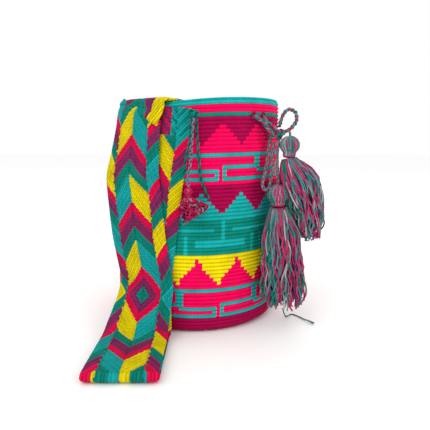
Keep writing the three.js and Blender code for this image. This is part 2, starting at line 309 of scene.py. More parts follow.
def yarn_group():
    """The look shared by all the yarns: fibres, uneven dye and painted shade in the hollows."""
    found = bpy.data.node_groups.get("Yarn fibres and painted shade")
    if found:
        return found
    group = bpy.data.node_groups.new("Yarn fibres and painted shade", "ShaderNodeTree")
    sockets = group.interface
    sockets.new_socket("Colour", in_out="INPUT", socket_type="NodeSocketColor")
    inputs = (("Unevenness", 0.3), ("Painted Shade", 0.5), ("Fibre Scale", 900.0), ("Patch Scale", 60.0))
    for name, default in inputs:
        socket = sockets.new_socket(name, in_out="INPUT", socket_type="NodeSocketFloat")
        socket.default_value = default
    for name, kind in (("Colour", "Color"), ("Roughness", "Float"), ("Height", "Float")):
        sockets.new_socket(name, in_out="OUTPUT", socket_type="NodeSocket" + kind)
    nodes = group.nodes
    link = group.links.new

    def calculate(operation, *values):
        """A maths node on the values, each a number or another node's output."""
        node = nodes.new("ShaderNodeMath")
        node.operation = operation
        for socket, value in zip(node.inputs, values):
            if isinstance(value, float):
                socket.default_value = value
            else:
                link(value, socket)
        return node.outputs[0]

    def spread(value, low, high, to_low, to_high):
        """The value, mapped from one range to another."""
        node = nodes.new("ShaderNodeMapRange")
        limits = {"From Min": low, "From Max": high, "To Min": to_low, "To Max": to_high}
        for name, limit in limits.items():
            node.inputs[name].default_value = limit
        link(value, node.inputs["Value"])
        return node.outputs[0]

    given = nodes.new("NodeGroupInput").outputs
    result = nodes.new("NodeGroupOutput").inputs
    where = nodes.new("ShaderNodeTexCoord")
    fibres = nodes.new("ShaderNodeTexNoise")
    fibres.inputs["Detail"].default_value = 3.0
    fibres.inputs["Roughness"].default_value = 0.65
    patches = nodes.new("ShaderNodeTexNoise")
    patches.inputs["Detail"].default_value = 2.0
    for noise, scale in ((fibres, "Fibre Scale"), (patches, "Patch Scale")):
        link(where.outputs["Object"], noise.inputs["Vector"])
        link(given[scale], noise.inputs["Scale"])
    # Reads the painted shade stored on each mesh.
    painted_shade = nodes.new("ShaderNodeAttribute")
    painted_shade.attribute_name = "painted_shade"

    mixed = calculate("ADD", fibres.outputs["Fac"], patches.outputs["Fac"])
    uneven = spread(mixed, 0.7, 1.3, -0.5, 0.5)
    strength = calculate("MULTIPLY_ADD", uneven, given["Unevenness"], 1.0)
    # Painted shade: the colour's value is lowered by the stored shade times its strength.
    painted_shade_amount = calculate("MULTIPLY", painted_shade.outputs["Fac"], given["Painted Shade"])
    value = calculate("MULTIPLY", strength, calculate("SUBTRACT", 1.0, painted_shade_amount))
    dyed_and_shaded = nodes.new("ShaderNodeHueSaturation")
    link(given["Colour"], dyed_and_shaded.inputs["Color"])
    link(value, dyed_and_shaded.inputs["Value"])
    link(dyed_and_shaded.outputs["Color"], result["Colour"])
    link(spread(fibres.outputs["Fac"], 0.3, 0.7, 0.72, 0.95), result["Roughness"])
    link(fibres.outputs["Fac"], result["Height"])
    return group


def yarn_material(yarn):
    """The material of one yarn, dyed in its own shade, with a little fuzz."""
    name = "Yarn " + yarn
    found = bpy.data.materials.get(name)
    if found:
        return found
    material = bpy.data.materials.new(name)
    material.use_nodes = True
    nodes = material.node_tree.nodes
    link = material.node_tree.links.new
    surface = nodes["Principled BSDF"]
    surface.inputs["Sheen Weight"].default_value = makeup().fuzz
    surface.inputs["Sheen Roughness"].default_value = 0.5
    surface.inputs["Specular IOR Level"].default_value = 0.06
    fibres = nodes.new("ShaderNodeGroup")
    fibres.node_tree = yarn_group()
    fibres.inputs["Colour"].default_value = (*getattr(shades(), yarn), 1.0)
    fibres.inputs["Unevenness"].default_value = makeup().unevenness
    # How dark the painted shade in this yarn's hollows is.
    fibres.inputs["Painted Shade"].default_value = makeup().painted_shade_strength
    bump = nodes.new("ShaderNodeBump")
    bump.inputs["Strength"].default_value = 0.5
    bump.inputs["Distance"].default_value = 0.0006
    link(fibres.outputs["Colour"], surface.inputs["Base Color"])
    link(fibres.outputs["Roughness"], surface.inputs["Roughness"])
    link(fibres.outputs["Height"], bump.inputs["Height"])
    link(bump.outputs["Normal"], surface.inputs["Normal"])
    return material


# ---- the wall's shape ----

def wall_radius(z):
    """The wall's outer radius at a height."""
    t = np.clip(z / BAG_HEIGHT, 0, 1)
    low = RADIUS_BASE * (1 - t) * (1 - 2 * t)
    middle = RADIUS_MIDDLE * 4 * t * (1 - t)
    return low + middle + RADIUS_TOP * t * (2 * t - 1)


def rim_rise(angle, z):
    """How far the soft wall is pulled up, or down where the strap crosses the rim."""
    turned = (np.asarray(angle) + 180) % 360 - 180
    tilt = RIM_TILT * np.sin(np.radians(turned))
    dip = RIM_DIP * np.exp(-((turned - RIM_DIP_ANGLE) / RIM_DIP_SPREAD) ** 2)
    return (tilt - dip) * np.clip(z / BAG_HEIGHT, 0, 1) ** 4


def on_wall(angle, z, offset):
    """A point on the wall, offset outwards; angle 0 is the front and 90 the right side."""
    turn = math.radians(angle)
    radius = float(wall_radius(z)) + offset
    x = radius * math.sin(turn) + LEAN * z
    return (x, -radius * math.cos(turn), z + float(rim_rise(angle, z)))


def place_round(angles, radii, heights):
    """Points on a grid of angles by profile places, with the wall's lean and its uneven rim."""
    turn = np.radians(angles)
    x = radii * np.sin(turn) + LEAN * heights
    y = -radii * np.cos(turn)
    z = heights + rim_rise(angles, heights)
    return np.stack([x, y, z], axis=-1)


# ---- the stage ----

# Each soft light: its name, its place, its width and its share of the key light's power.
LIGHTS = (
    ("key_light", (-0.7, -1.3, 1.5), 1.2, 1.0),
    ("fill_light", (1.2, -0.9, 0.8), 1.0, 0.45),
    ("back_light", (0.3, 1.4, 1.6), 1.2, 0.5),
)
LIGHTS_AIM = (0, 0, 0.13)
FLOOR_HALF = 6.0


class MOCHILA_OT_stage(bpy.types.Operator):
    """Sets up the camera, the pale floor and the soft lights"""

    bl_idname = "mochila.stage"
    bl_label = "Set the stage"

    def execute(self, context):
        scene = context.scene
        camera = bpy.data.objects.new("camera", bpy.data.cameras.new("camera"))
        camera.data.lens = CAMERA_LENS
        camera.data.sensor_width = 36.0
        camera.data.clip_start = 0.01
        camera.location = CAMERA_PLACE
        camera.rotation_euler = (math.radians(90 - CAMERA_PITCH), 0, 0)
        scene.collection.objects.link(camera)
        scene.camera = camera

        half = FLOOR_HALF
        mesh = bpy.data.meshes.new("floor")
        mesh.from_pydata(
            [(-half, -half, 0), (half, -half, 0), (half, half, 0), (-half, half, 0)], [], [(0, 1, 2, 3)]
        )
        floor = bpy.data.objects.new("floor", mesh)
        scene.collection.objects.link(floor)
        mesh.materials.append(floor_material())

        world = bpy.data.worlds.new("studio")
        world.use_nodes = True
        background = world.node_tree.nodes["Background"]
        background.inputs["Color"].default_value = (1, 1, 1, 1)
        background.inputs["Strength"].default_value = makeup().room_light
        scene.world = world
        scene.view_settings.view_transform = "Standard"
        for name, place, size, share in LIGHTS:
            add_light(name, place, size, makeup().key_light * share)
        return {"FINISHED"}


def floor_material():
    """A matt white sweep of paper, with a faint tooth."""
    material = bpy.data.materials.new("Paper floor")
    material.use_nodes = True
    nodes = material.node_tree.nodes
    surface = nodes["Principled BSDF"]
    surface.inputs["Base Color"].default_value = (0.97, 0.97, 0.97, 1)
    surface.inputs["Specular IOR Level"].default_value = 0.06
    tooth = nodes.new("ShaderNodeTexNoise")
    tooth.inputs["Scale"].default_value = 400.0
    spread = nodes.new("ShaderNodeMapRange")
    spread.inputs["To Min"].default_value = 0.85
    spread.inputs["To Max"].default_value = 1.0
    material.node_tree.links.new(tooth.outputs["Fac"], spread.inputs["Value"])
    material.node_tree.links.new(spread.outputs[0], surface.inputs["Roughness"])
    return material


def add_light(name, place, size, power):
    data = bpy.data.lights.new(name, "AREA")
    data.size = size
    data.energy = power
    light = bpy.data.objects.new(name, data)
    light.location = place
    light.rotation_euler = (Vector(LIGHTS_AIM) - Vector(place)).to_track_quat("-Z", "Y").to_euler()
    bpy.context.scene.collection.objects.link(light)


# ---- the cords ----

# Lengths in cord diameters: a plait's and a rope's turn, how far a plait's strands swing to the
# side and over, and the radius of a strand in each.
PLAIT_PITCH = 2.6
PLAIT_SWAY = 0.27
PLAIT_LIFT = 0.15
PLAIT_STRAND = 0.24
ROPE_PITCH = 3.2
ROPE_SWING = 0.25
ROPE_STRAND = 0.26


def plait(skein, points, diameter, yarns, density=3.0):
    """Adds a three-strand plait along the points; returns the centre line that it follows."""
    length = lengths_along(smooth_path(points)[0])[-1]
    pitch = PLAIT_PITCH * diameter
    count = max(12, int(density * 6 * length / pitch))
    centre = even_path(points, count)
    along = lengths_along(centre)
    side, lift = carried_frames(centre)
    for k, yarn in enumerate(yarns):
        phase = 2 * np.pi * (along / pitch + k / len(yarns))
        sway = PLAIT_SWAY * diameter * np.sin(phase)
        over = PLAIT_LIFT * diameter * np.sin(2 * phase)
        strand = centre + sway[:, None] * side + over[:, None] * lift
        skein.add_strand(strand, PLAIT_STRAND * diameter, yarn, sides=7, twist=1.4 * diameter)
    return centre


def rope(skein, points, diameter, yarns):
    """Adds a twisted rope of as many plies as there are yarns; returns its centre line."""
    length = lengths_along(smooth_path(points)[0])[-1]
    pitch = ROPE_PITCH * diameter
    centre = even_path(points, max(12, int(10 * length / pitch)))
    along = lengths_along(centre)
    side, lift = carried_frames(centre)
    for k, yarn in enumerate(yarns):
        phase = 2 * np.pi * (along / pitch + k / len(yarns))
        strand = centre + ROPE_SWING * diameter * (
            np.cos(phase)[:, None] * side + np.sin(phase)[:, None] * lift
        )
        skein.add_strand(strand, ROPE_STRAND * diameter, yarn, twist=0.7 * pitch, depth=0.12)
    return centre


CORD_YARNS = ("green", "pink", "grey")
BRAID_YARNS = ("mauve", "grey", "grey")
STRING_YARNS = ("green", "green", "dark")

LOOP_UPPER_ROUTE = [
    (0.0995, -0.0680, 0.2392),
    (0.1010, -0.0690, 0.2460),
    (0.1040, -0.0700, 0.2540),
    (0.1100, -0.0710, 0.2588),
    (0.1175, -0.0715, 0.2545),
    (0.1185, -0.0710, 0.2460),
    (0.1135, -0.0700, 0.2380),
    (0.1074, -0.0690, 0.2340),
]
LOOP_LOWER_ROUTE = [
    (0.0896, -0.0706, 0.2290),
    (0.0870, -0.0760, 0.2170),
    (0.0850, -0.0820, 0.2020),
    (0.0820, -0.0860, 0.1870),
    (0.0790, -0.0890, 0.1750),
    (0.0815, -0.0906, 0.1680),
    (0.0864, -0.0896, 0.1710),
    (0.0886, -0.0874, 0.1830),
    (0.0896, -0.0840, 0.1990),
    (0.0914, -0.0786, 0.2130),
    (0.0932, -0.0738, 0.2220),
]
# The two tails run on, hidden, through the heads of their tassels.
TAIL_UPPER_ROUTE = [
    (0.1054, -0.0738, 0.2324),
    (0.1084, -0.0764, 0.2344),
    (0.1100, -0.0790, 0.2330),
    (0.1104, -0.0800, 0.2286),
    (0.1102, -0.0800, 0.2184),
    (0.1100, -0.0800, 0.2064),
    (0.1103, -0.0802, 0.2000),
]
TAIL_LOWER_ROUTE = [
    (0.0984, -0.0750, 0.2239),
    (0.0966, -0.0806, 0.2130),
    (0.0958, -0.0860, 0.1990),
    (0.0964, -0.0880, 0.1860),
    (0.0972, -0.0870, 0.1732),
    (0.0975, -0.0870, 0.1630),
    (0.0982, -0.0870, 0.1506),
]
STRING_LONG_ROUTE = [
    (0.0054, -0.1108, 0.2458),
    (0.0054, -0.1084, 0.2360),
    (0.0062, -0.1068, 0.2190),
    (0.0082, -0.1068, 0.1950),
    (0.0104, -0.1070, 0.1790),
    (0.0180, -0.1060, 0.1600),
]
STRING_SHORT_ROUTE = [
    (0.0014, -0.1126, 0.2456),
    (0.0000, -0.1120, 0.2360),
    (-0.0026, -0.1116, 0.2200),
    (-0.0066, -0.1118, 0.2040),
    (-0.0084, -0.1118, 0.1870),
]
BRAID_ROUTE = [
    (0.0024, -0.1160, 0.2466),
    (0.0016, -0.1178, 0.2360),
    (0.0004, -0.1182, 0.2200),
    (-0.0014, -0.1176, 0.2000),
    (-0.0034, -0.1166, 0.1840),
    (-0.0040, -0.1162, 0.1740),
]
THREAD_ROUTE = [
    (0.1070, -0.0850, 0.0226),
    (0.1095, -0.0810, 0.0150),
    (0.1140, -0.0700, 0.0055),
    (0.1190, -0.0585, 0.0018),
    (0.1250, -0.0530, 0.0011),
    (0.1320, -0.0600, 0.0011),
    (0.1390, -0.0712, 0.0013),
]
THREAD_TIP_ROUTE = [(0.1395, -0.0722, 0.0020), (0.1430, -0.0776, 0.0021), (0.1460, -0.0820, 0.0020)]


def drawstring_route():
    """Out of one eyelet, round inside the wall, and out of the other to the knot."""
    first, last = EYELET_ANGLES
    z = EYELET_HEIGHT
    inside = -WALL - EYELET_TURN
    points = [
        (0.0950, -0.0770, 0.2360),
        on_wall(last - 3, 0.245, 0.008),
        on_wall(last, z, EYELET_LIP),
        on_wall(last, z, -WALL / 2),
        on_wall(last + 1, z, inside),
    ]
    for angle in np.arange(last + EYELET_CLEAR, 360 + first - EYELET_CLEAR + 1e-6, DRAWSTRING_STEP):
        points.append(on_wall(angle, z, -DRAWSTRING_INSET))
    points += [
        on_wall(first - 1, z, inside),
        on_wall(first, z, -WALL / 2),
        on_wall(first, z, EYELET_LIP),
        on_wall(first + 4, z - 0.005, 0.0066),
        (0.0880, -0.0800, 0.2330),
        (0.0924, -0.0770, 0.2276),
    ]
    return points


class MOCHILA_OT_cords(bpy.types.Operator):
    """Braids the drawstring, its bow and the strings that carry the tassels"""

    bl_idname = "mochila.cords"
    bl_label = "Braid the cords"

    def execute(self, context):
        jobs = [
            ("drawstring", drawstring_route(), CORD_DIAMETER, CORD_YARNS, "object", "taut"),
            ("bow_loop_upper", LOOP_UPPER_ROUTE, CORD_DIAMETER, CORD_YARNS, "object", "loose"),
            ("bow_loop_lower", LOOP_LOWER_ROUTE, LOOP_DIAMETER, CORD_YARNS, "object", "hanging"),
            ("upper_tassel_cord", TAIL_UPPER_ROUTE, UPPER_TAIL_DIAMETER, CORD_YARNS, "object", "hanging"),
            ("lower_tassel_cord", TAIL_LOWER_ROUTE, LOWER_TAIL_DIAMETER, CORD_YARNS, "object", "hanging"),
            ("seam_braid", BRAID_ROUTE, STRING_DIAMETER, BRAID_YARNS, "object", "hanging"),
        ]
        for node, route, diameter, yarns, far_end, lay in jobs:
            skein = Skein()
            centre = plait(skein, route, diameter, yarns)
            piece = skein.build(node + "_plait")
            finish_piece(piece, "grey_yarn" if node == "seam_braid" else "braided_cord", node)
        ropes = [
            ("seam_string_long", STRING_LONG_ROUTE, STRING_DIAMETER, "hanging"),
            ("seam_string_short", STRING_SHORT_ROUTE, STRING_DIAMETER, "hanging"),
            ("tassel_thread", THREAD_ROUTE, THREAD_DIAMETER, "loose"),
        ]
        for node, route, diameter, lay in ropes:
            skein = Skein()
            centre = rope(skein, route, diameter, STRING_YARNS)
            piece = skein.build(node + "_rope")
            finish_piece(piece, "green_yarn", node)
        return {"FINISHED"}


KNOT_STEPS = 90
TIP_FIBRES = 9
TIP_SPREAD = 0.0011
TIP_FIBRE_RADIUS = 0.0004


def knot_points(centre, size):
    """A trefoil, as the turns of a tied knot."""
    t = np.linspace(0, 2 * np.pi, KNOT_STEPS)
    x = (np.sin(t) + 2 * np.sin(2 * t)) / 3
    y = (np.cos(t) - 2 * np.cos(2 * t)) / 3
    z = -np.sin(3 * t)
    return np.asarray(centre) + np.stack([x, z * 0.6, y], axis=1) * np.asarray(size)


def middle_and_half(node):
    low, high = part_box(node)
    return (np.array(low) + np.array(high)) / 2, (np.array(high) - np.array(low)) / 2


class MOCHILA_OT_knots(bpy.types.Operator):
    """Ties the bow's knot and the wrapped knot at the front seam"""

    bl_idname = "mochila.knots"
    bl_label = "Tie the knots"

    def execute(self, context):
        centre, half = middle_and_half("bow_knot")
        skein = Skein()
        plait(skein, knot_points(centre, half * 0.80), CORD_DIAMETER * 0.95, CORD_YARNS, density=2.0)
        add_ball(skein, centre, half * 0.55, "green", 14)
        finish_piece(skein.build("bow_knot_turns"), "braided_cord", "bow_knot")

        centre, half = middle_and_half("seam_knot")
        skein = Skein()
        rope(skein, knot_points(centre, half * 0.72), SEAM_KNOT_DIAMETER, STRING_YARNS)
        add_ball(skein, centre, half * 0.6, "green", 12)
        finish_piece(skein.build("seam_knot_turns"), "green_yarn", "seam_knot")

        skein = Skein()
        rng = random.Random(5)
        tip = even_path(THREAD_TIP_ROUTE, 14)
        for k in range(TIP_FIBRES):
            fan = TIP_SPREAD * np.array([rng.uniform(-1, 1), rng.uniform(-1, 1), rng.uniform(-0.6, 0.8)])
            spread = np.linspace(0.3, 1.0, len(tip))[:, None]
            yarn = "green" if k % 3 else "grey"
            skein.add_strand(tip + fan * spread, TIP_FIBRE_RADIUS, yarn, sides=5, twist=0.003)
        finish_piece(skein.build("thread_tip_fibres"), "green_yarn", "tassel_thread_tip")
        return {"FINISHED"}


# ---- the tassels ----

# A skirt's strands: the places along each, how far round each drifts (in radians), how many
# times it waves and how far.
SKIRT_STEPS = 22
SKIRT_DRIFT = 0.7
SKIRT_BEATS = (1.2, 3.2)
SKIRT_WAVE = 0.0040
# A head's strands: their turn from the crown (in radians), the places along each, and how far
# in the neck they end, as a share of the head.
HEAD_TURN = (0.12, 2.45)
HEAD_STEPS = 15
HEAD_NECK = 0.55


def add_ball(skein, centre, half, yarn, count):
    """Adds a smooth core under wound yarn."""
    polar = np.linspace(0.06, np.pi - 0.06, count)
    around = np.linspace(0, 2 * np.pi, 2 * count, endpoint=False)
    rings = np.stack(
        [
            half[0] * np.sin(polar)[:, None] * np.cos(around)[None, :],
            half[1] * np.sin(polar)[:, None] * np.sin(around)[None, :],
            half[2] * np.cos(polar)[:, None] * np.ones_like(around)[None, :],
        ],
        axis=-1,
    )
    skein.add_rings(rings[::-1] + np.asarray(centre), yarn)


def pick_yarn(rng, mix):
    """One yarn name, drawn by the mix's weights."""
    return rng.choices(list(mix), weights=list(mix.values()))[0]


def tassel_head(name, centre, half, neck, mix, strand, seed):
    """A head of yarn folded over the cord: strands from the crown down to the neck, under the tie."""
    rng = random.Random(seed)
    skein = Skein()
    add_ball(skein, centre, half * 0.86, next(iter(mix)), 18)
    for k in range(HEAD_STRANDS):
        turn = 2 * np.pi * (k + rng.uniform(-0.35, 0.35)) / HEAD_STRANDS
        polar = np.linspace(*HEAD_TURN, HEAD_STEPS)
        sway = 0.10 * np.sin(polar * 2 + rng.uniform(0, 6))
        reach = 1 - (strand / half[0]) + rng.uniform(-0.03, 0.02)
        path = np.stack(
            [
                np.sin(polar) * np.cos(turn + sway) * half[0] * reach,
                np.sin(polar) * np.sin(turn + sway) * half[1] * reach,
                np.cos(polar) * half[2] * reach,
            ],
            axis=1,
        )
        turn_end = turn + sway[-1]
        foot = neck + half[0] * HEAD_NECK * np.array([math.cos(turn_end), math.sin(turn_end), 0])
        path = even_path(np.vstack([path[::2] + centre, foot]), 18, 6)
        skein.add_strand(path, strand, pick_yarn(rng, mix))
    return skein.build(name)


def tassel_tie(name, centre, half, strand, wound):
    """Yarn wound round the neck of a tassel, over a crimson core."""
    radius = half[0] * TIE_TIGHTNESS
    height = 2 * half[2] + strand
    turns = max(3, int(2 * half[2] / (1.7 * strand)))
    skein = Skein()
    t = np.linspace(0, 1, turns * 26)
    angle = 2 * np.pi * turns * t
    wobble = 1 + 0.03 * np.sin(angle * 1.7)
    path = np.stack(
        [
            (radius - strand) * wobble * np.cos(angle),
            (radius - strand) * wobble * np.sin(angle),
            (t - 0.5) * (height - 1.6 * strand),
        ],
        axis=1,
    )
    skein.add_strand(path + centre, strand, wound, twist=0.004)
    core = np.array([radius * 0.9, radius * 0.9, height * 0.62])
    add_ball(skein, centre, core, "crimson", 12)
    return skein.build(name)


def tassel_skirt(route, radii, mix, strand, count, seed, ragged):
    """A skirt of loose strands that follow the route and fan out to the radii."""
    rng = random.Random(seed)
    skein = Skein()
    centre = even_path(route, SKIRT_STEPS)
    side, lift = carried_frames(centre, (0, 1, 0))
    share = np.linspace(0, 1, SKIRT_STEPS)
    envelope = np.interp(share, np.linspace(0, 1, len(radii)), radii)
    for k in range(count):
        depth = math.sqrt(rng.uniform(0.05, 1.0)) if k % 3 else rng.uniform(0.9, 1.0)
        turn = rng.uniform(0, 2 * math.pi)
        drift = rng.uniform(-SKIRT_DRIFT, SKIRT_DRIFT)
        angle = turn + drift * share
        reach = (envelope - strand) * (depth + rng.uniform(-0.12, 0.04) * share)
        end = 1 - rng.uniform(0, ragged)
        phase = rng.uniform(0, 6.28)
        beat = rng.uniform(*SKIRT_BEATS)
        loose = SKIRT_WAVE * np.sqrt(share) * rng.uniform(0.5, 1.2)
        stray = loose * np.sin(2 * np.pi * beat * share + phase)
        second = loose * np.sin(2 * np.pi * beat * 1.3 * share + 2.1 * phase)
        path = centre + (reach * np.cos(angle) + stray)[:, None] * side
        path = path + (reach * np.sin(angle) + second)[:, None] * lift
        along = lengths_along(path)
        wanted = np.linspace(0, along[-1] * end, SKIRT_STEPS)
        path = np.stack([np.interp(wanted, along, path[:, i]) for i in range(3)], axis=1)
        path[:, 2] = np.maximum(path[:, 2], strand * 1.3)
        skein.add_strand(path, strand, pick_yarn(rng, mix), twist=0.0055)
    return skein


# How many yarns of each shade a tassel has, in proportion.
MIXED_YARNS = {"pink": 4.6, "green": 2.4, "mauve": 0.5, "grey": 3.2, "teal": 1.0, "pale": 0.5}
# The crimson tassel's pale strands are painted highlights on its red yarn.
CRIMSON_YARNS = {"red": 4.2, "crimson": 3.0, "pink": 1.2, "mauve": 0.8, "grey": 0.5, "pale": 0.2}

SKIRT_UPPER_ROUTE = [
    (0.1100, -0.0800, 0.2032),
    (0.1103, -0.0802, 0.2000),
    (0.1140, -0.0815, 0.1910),
    (0.1205, -0.0810, 0.1780),
    (0.1280, -0.0780, 0.1580),
    (0.1335, -0.0745, 0.1340),
    (0.1360, -0.0720, 0.1080),
]
SKIRT_UPPER_RADII = [0.009, 0.019, 0.0235, 0.0235, 0.021, 0.0175, 0.0165]
SKIRT_LOWER_ROUTE = [
    (0.0985, -0.0870, 0.1474),
    (0.1010, -0.0865, 0.1200),
    (0.1040, -0.0860, 0.0900),
    (0.1065, -0.0855, 0.0550),
    (0.1070, -0.0850, 0.0300),
]
SKIRT_LOWER_RADII = [0.010, 0.0215, 0.024, 0.0255, 0.0255]
SKIRT_SMALL_ROUTE = [
    (-0.0042, -0.1166, 0.1630),
    (-0.00395, -0.1167, 0.1578),
    (-0.0006, -0.1186, 0.1510),
    (0.0050, -0.1204, 0.1425),
]
SKIRT_SMALL_RADII = [0.0060, 0.0098, 0.0140, 0.0160]
# How far the finished heads and ties stand out, as a share of their plain solids.
HEAD_FULLNESS = 1.18
SMALL_HEAD_FULLNESS = 0.9
TIE_TIGHTNESS = 0.86
HEAD_STRANDS = 52


STRAY_ROUTES = {
    "pink": [
        (0.128, -0.080, 0.172), (0.140, -0.078, 0.160), (0.147, -0.077, 0.142), (0.141, -0.077, 0.128),
    ],
    "crimson": [(0.113, -0.085, 0.060), (0.122, -0.084, 0.046), (0.131, -0.083, 0.035)],
    "green": [(0.118, -0.086, 0.052), (0.124, -0.085, 0.040), (0.1245, -0.085, 0.026)],
}


class MOCHILA_OT_tassels(bpy.types.Operator):
    """Winds and ties the two mixed tassels and the small crimson one"""

    bl_idname = "mochila.tassels"
    bl_label = "Tie the tassels"

    def execute(self, context):
        strand = makeup().tassel_yarn / 2
        fine = strand * 0.7
        thick = makeup().tassel_strands
        skirts = [
            ("upper", SKIRT_UPPER_ROUTE, SKIRT_UPPER_RADII, MIXED_YARNS, strand, thick, 11, 0.10),
            ("lower", SKIRT_LOWER_ROUTE, SKIRT_LOWER_RADII, MIXED_YARNS, strand, thick, 23, 0.13),
            ("small", SKIRT_SMALL_ROUTE, SKIRT_SMALL_RADII, CRIMSON_YARNS, fine, thick // 2, 37, 0.22),
        ]
        for which, route, radii, mix, yarn, count, seed, ragged in skirts:
            slot = "rose_yarn" if which == "small" else "tassel_yarn"
            skein = tassel_skirt(route, radii, mix, yarn, count, seed, ragged)
            finish_piece(skein.build(which + "_skirt_yarn"), slot, which + "_tassel_skirt")
            centre, half = middle_and_half(which + "_tassel_head")
            neck, tie_half = middle_and_half(which + "_tassel_tie")
            full = half * (SMALL_HEAD_FULLNESS if which == "small" else HEAD_FULLNESS)
            head = tassel_head(which + "_head_yarn", centre, full, neck, mix, yarn * 1.1, seed + 1)
            finish_piece(head, slot, which + "_tassel_head")
            wound = "pink" if which == "upper" else "crimson"
            tie = tassel_tie(which + "_tie_yarn", neck, tie_half, yarn, wound)
            finish_piece(tie, slot, which + "_tassel_tie")
        self.add_strays(strand)
        return {"FINISHED"}

    def add_strays(self, strand):
        """A few strands that have come loose from the two large tassels."""
        skein = Skein()
        for yarn, route in STRAY_ROUTES.items():
            skein.add_strand(even_path(route, 26), strand, yarn)
        finish_piece(skein.build("stray_yarn"), "tassel_yarn")


# ---- the crochet ----

# Places across a stitch and up a row, outside and inside.
OUTSIDE_DETAIL = 3
INSIDE_DETAIL = 2
# Painted shade: how dark each place is painted between rows, between stitches and between the rim's loops,
# where shade would fall.
ROW_PAINTED_SHADE = 0.62
STITCH_PAINTED_SHADE = 0.10
RIM_PAINTED_SHADE = 0.6
# How uneven the stitches are, how far the wall swells, and how each row of places in a stitch
# leans to the side, as a share of a stitch.
LOOSENESS = 0.22
SWELL = 0.0006
LEANS = (-0.05, -0.05, 0.10)
# The base's rounds: how wide each is, how far it ripples and how far its stitches stand out.
ROUND_WIDTH = 0.0045
ROUND_RIPPLE = 0.0005
ROUND_STITCH = 0.00025
EYELET_RADIUS = 0.0042
EYELET_YARN = 0.0011


def on_lines(row, column, rows, columns):
    """Whether a stitch is on one of a key's lines."""
    if any(row == at and first <= column <= last for at, first, last in rows):
        return True
    return any(column == at and first <= row <= last for at, first, last in columns)


def zigzag_level(stitch, peak, tip, turn):
    """The level of a zigzag at a stitch: it steps a row at each stitch, up to a peak and down again."""
    place = (stitch + 0.5 - turn) % REPEAT
    rise = abs(place - REPEAT / 2) / (REPEAT / 2)
    return tip + (peak - tip) * rise


def chart(stitch, z):
    """The yarn of the stitch at a height, counted round from the chart's start."""
    for level, yarn in RIM_BANDS:
        if z > level:
            return yarn
    column = stitch % (2 * REPEAT)
    first, second, third = [zigzag_level(stitch, *zigzag) for zigzag in ZIGZAGS]
    if z > first:
        return "wine"
    if z > UPPER_KEY_FLOOR:
        return key_yarn(z, column, "upper", "teal", "hot", MEANDER_ROWS, MEANDER_COLUMNS, 7)
    if z > second:
        return "wine"
    top, bottom = KEYS["middle"]
    if z > top:
        return "teal"
    if z > bottom:
        return key_yarn(z, column, "middle", "teal", "green", MIDDLE_ROWS, MIDDLE_COLUMNS, 8)
    if z > third:
        return "yellow"
    if z > KEYS["lower"][1]:
        return key_yarn(z, column, "lower", "teal", "hot", MEANDER_ROWS, MEANDER_COLUMNS, 7)
    return "wine"


def key_yarn(z, column, key, line, ground, rows, columns, height):
    """The yarn inside a key's band: its line, or the ground round it."""
    top, bottom = KEYS[key]
    if not bottom < z <= top:
        return ground
    row = int((top - z) / (top - bottom) * height)
    return line if on_lines(row, column, rows, columns) else ground


def outer_profile(count):
    """Evenly spaced places up the outside of the wall, from the base's edge to the rim's shoulder."""
    foot = float(wall_radius(BASE_EDGE)) - BASE_EDGE
    turn = np.linspace(0, np.pi / 2, 24)
    radii = list(foot + BASE_EDGE * np.sin(turn))
    heights = list(BASE_EDGE * (1 - np.cos(turn)))
    for z in np.linspace(BASE_EDGE, BAG_HEIGHT - WALL / 2, 120)[1:]:
        radii.append(float(wall_radius(z)))
        heights.append(z)
    profile = np.stack([radii, heights], axis=1)
    along = lengths_along(profile)
    wanted = np.linspace(0, along[-1], count)
    return np.stack([np.interp(wanted, along, profile[:, k]) for k in range(2)], axis=1)


def stitch_painted_shade(columns, rows, per_stitch, per_row):
    """How much painted shade darkens each place between the rows and between the stitches."""
    across = np.where(np.arange(columns) % per_stitch == 0, STITCH_PAINTED_SHADE, 0.0)
    up = np.where(np.arange(rows) % per_row == 0, ROW_PAINTED_SHADE, 0.0)
    return np.maximum(up[None, :], across[:, None])


def stitch_relief(columns, rows, per_stitch, per_row, rng):
    """How far each place of the crochet stands out, in shares of a stitch's full height."""
    across = np.arange(columns) % per_stitch / per_stitch
    up = np.arange(rows) % per_row / per_row
    groove = np.where(across == 0, -0.35, 0.1)
    valley = np.where(up == 0, -0.85, 0.45)
    relief = valley[None, :] + groove[:, None] * (up > 0)[None, :]
    size = (columns // per_stitch + 1, rows // per_row + 1)
    loose = rng.uniform(-LOOSENESS, LOOSENESS, size)
    each = np.repeat(np.repeat(loose, per_stitch, axis=0)[:columns], per_row, axis=1)[:, :rows]
    return relief + each


def work_rounds(skein, grid, profile, detail, painted_shade, outward):
    """Adds the grid's faces round by round, each in the chart's yarn for its stitch and row."""
    columns, steps = grid.shape[:2]
    last_row = (len(profile) - 1) // detail - 1
    faces = []
    yarns = []
    for j in range(steps - 1):
        z = float(profile[min(j // detail, last_row) * detail + 1, 1])
        row_yarns = [chart(stitch, z) for stitch in range(STITCHES)]
        for i in range(columns):
            right = (i + 1) % columns
            quad = (i * steps + j, right * steps + j, right * steps + j + 1, i * steps + j + 1)
            faces.append(quad if outward else quad[:1] + quad[:0:-1])
            yarns.append(row_yarns[i // detail])
    skein.add(grid.reshape(-1, 3), faces, yarns, painted_shade)


